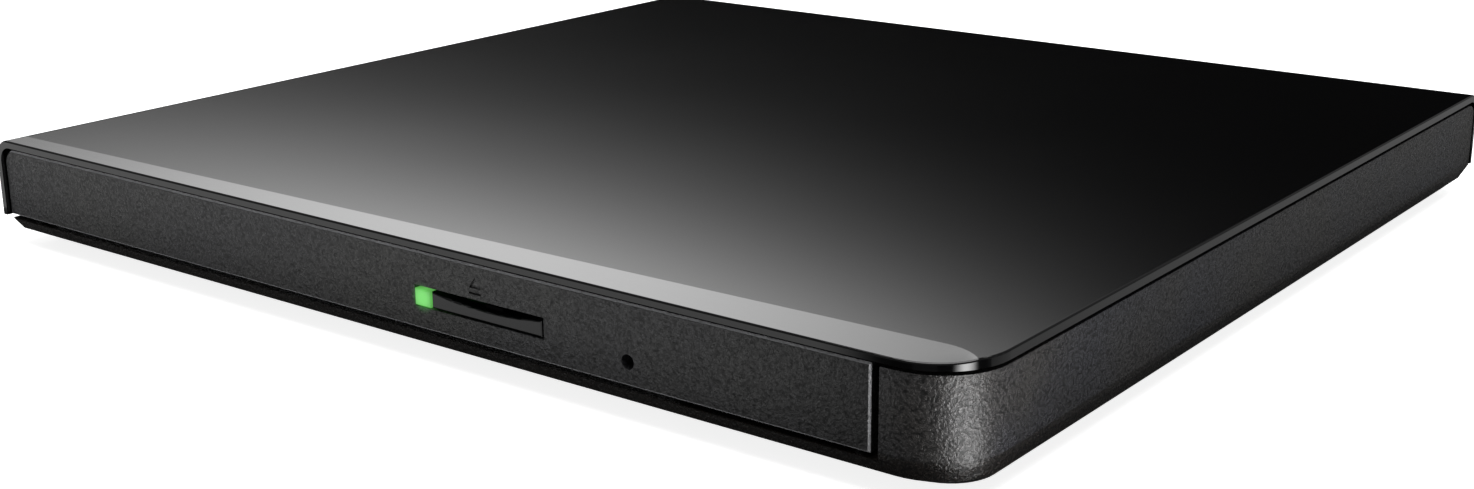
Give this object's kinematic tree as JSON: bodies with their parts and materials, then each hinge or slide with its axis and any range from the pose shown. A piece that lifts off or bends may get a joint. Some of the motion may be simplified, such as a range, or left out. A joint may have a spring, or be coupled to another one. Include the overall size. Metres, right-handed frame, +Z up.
{
  "type": "external optical disc drive",
  "caption": "Slim portable optical disc drive: tray with spindle and laser sled slides out of a flat rounded housing; eject button, status light and pinhole on its front.",
  "frame": {"origin": "centre of the footprint, on the surface that the rubber feet stand on", "axes": "+Z up, -Y is the front with the tray, +X to the right seen from the front"},
  "size_m": [0.144, 0.1376, 0.014],
  "materials": {
    "cover": "satin black, moulded",
    "case": "fine-grained charcoal",
    "bezel": "grained charcoal",
    "button": "smooth charcoal",
    "tray": "fine matt black",
    "mould": "plain black",
    "ivory": "natural",
    "label": "blank film label",
    "rubber": "matt",
    "foam": "open-cell foam",
    "sheet": "galvanised sheet",
    "steel": "machined",
    "screw": "nickel plated",
    "diecast": "die cast",
    "copper": "enamelled windings",
    "magnet": "plated magnet",
    "board": "solder-masked board",
    "chip": "moulded package",
    "flex": "flat cable",
    "light": "green lens",
    "lens": "coated lens"
  },
  "bodies": {
    "housing": {"top_cover": "cover", "bottom_case": "case", "rubber_feet": "rubber", "rating_label": "label", "case_screws": "screw", "drive_screws": "screw", "chassis_pan": "sheet", "chassis_lid": "sheet", "lid_screws": "screw", "foam_pads": "foam", "latch_post": "steel", "guide_left": "ivory", "guide_right": "ivory", "tray_flex": "flex", "connector_board": "board", "sata_plug": "mould", "sata_receptacle": "mould", "bridge_board": "board", "bridge_chips": "chip", "usb_socket": "screw", "usb_tongue": "mould"},
    "rail_left": {"rail_left": "steel"},
    "rail_right": {"rail_right": "steel"},
    "tray": {"tray": "tray", "tray_base_plate": "sheet", "tray_screws": "screw", "tray_bezel": "bezel", "led_lens": "light", "front_board": "board", "eject_switch": "chip", "status_led": "ivory", "latch_pivot": "steel", "latch_solenoid": "chip", "solenoid_core": "steel", "ejector_plunger": "ivory", "motor_base": "steel", "stator": "copper", "traverse_frame": "sheet", "guide_rod_main": "steel", "guide_rod_sub": "steel", "stepper_motor": "steel", "dampers": "rubber", "deck_plate": "sheet", "main_board": "board", "board_chips": "chip"},
    "eject_button": {"eject_button": "button"},
    "latch_hook": {"latch_hook": "ivory"},
    "emergency_slider": {"emergency_slider": "ivory"},
    "spindle": {"spindle_rotor": "diecast", "rotor_magnet": "magnet", "turntable_pad": "rubber"},
    "claw_1": {"hub_claw_1": "mould"},
    "claw_2": {"hub_claw_2": "mould"},
    "claw_3": {"hub_claw_3": "mould"},
    "sled": {"pickup_body": "diecast", "screw_follower": "ivory", "actuator_magnets": "magnet"},
    "lens": {"lens_holder": "mould", "objective_lens": "lens"},
    "lead_screw": {"lead_screw": "steel"}
  },
  "joints": [
    {"name": "tray_slide", "type": "slide", "parent": "housing", "child": "tray", "axis": [0, -1, 0], "range_m": [0, 0.125], "deforming": ["tray_flex"]},
    {"name": "rail_left_slide", "type": "slide", "parent": "housing", "child": "rail_left", "axis": [0, -1, 0], "range_m": [0, 0.0625]},
    {"name": "rail_right_slide", "type": "slide", "parent": "housing", "child": "rail_right", "axis": [0, -1, 0], "range_m": [0, 0.0625]},
    {"name": "eject_press", "type": "slide", "parent": "tray", "child": "eject_button", "axis": [0, 1, 0], "range_m": [0, 0.0006], "stiffness_N_per_m": 400, "springref_m": -0.0003},
    {"name": "latch_swing", "type": "hinge", "parent": "tray", "child": "latch_hook", "pos_m": [0.0384, -0.06205, 0.005], "axis": [0, 0, 1], "range_deg": [-9, 0]},
    {"name": "emergency_push", "type": "slide", "parent": "tray", "child": "emergency_slider", "axis": [0, 1, 0], "range_m": [0, 0.002], "stiffness_N_per_m": 60, "springref_m": -0.001},
    {"name": "spindle_spin", "type": "hinge", "parent": "tray", "child": "spindle", "pos_m": [-0.00447, -0.00445, 0.008], "axis": [0, 0, 1], "continuous": true},
    {"name": "claw_1_slide", "type": "slide", "parent": "spindle", "child": "claw_1", "axis": [-0.866, -0.5, 0], "range_m": [0, 0.00055], "stiffness_N_per_m": 300, "springref_m": -0.0003},
    {"name": "claw_2_slide", "type": "slide", "parent": "spindle", "child": "claw_2", "axis": [0.866, -0.5, 0], "range_m": [0, 0.00055], "stiffness_N_per_m": 300, "springref_m": -0.0003},
    {"name": "claw_3_slide", "type": "slide", "parent": "spindle", "child": "claw_3", "axis": [0, 1, 0], "range_m": [0, 0.00055], "stiffness_N_per_m": 300, "springref_m": -0.0003},
    {"name": "sled_slide", "type": "slide", "parent": "tray", "child": "sled", "axis": [-0.7071, -0.7071, 0], "range_m": [0, 0.033]},
    {"name": "screw_spin", "type": "hinge", "parent": "tray", "child": "lead_screw", "pos_m": [-0.00405, -0.03316, 0.0059], "axis": [-0.7071, -0.7071, 0], "range_deg": [0, 3960]},
    {"name": "lens_focus", "type": "slide", "parent": "sled", "child": "lens", "axis": [0, 0, 1], "range_m": [-0.0004, 0.0004], "stiffness_N_per_m": 30}
  ],
  "couplings": [
    {"joint": "rail_left_slide", "follows": "tray_slide", "ratio": 0.5},
    {"joint": "rail_right_slide", "follows": "tray_slide", "ratio": 0.5},
    {"joint": "screw_spin", "follows": "sled_slide", "rad_per_m": 2094.4}
  ]
}
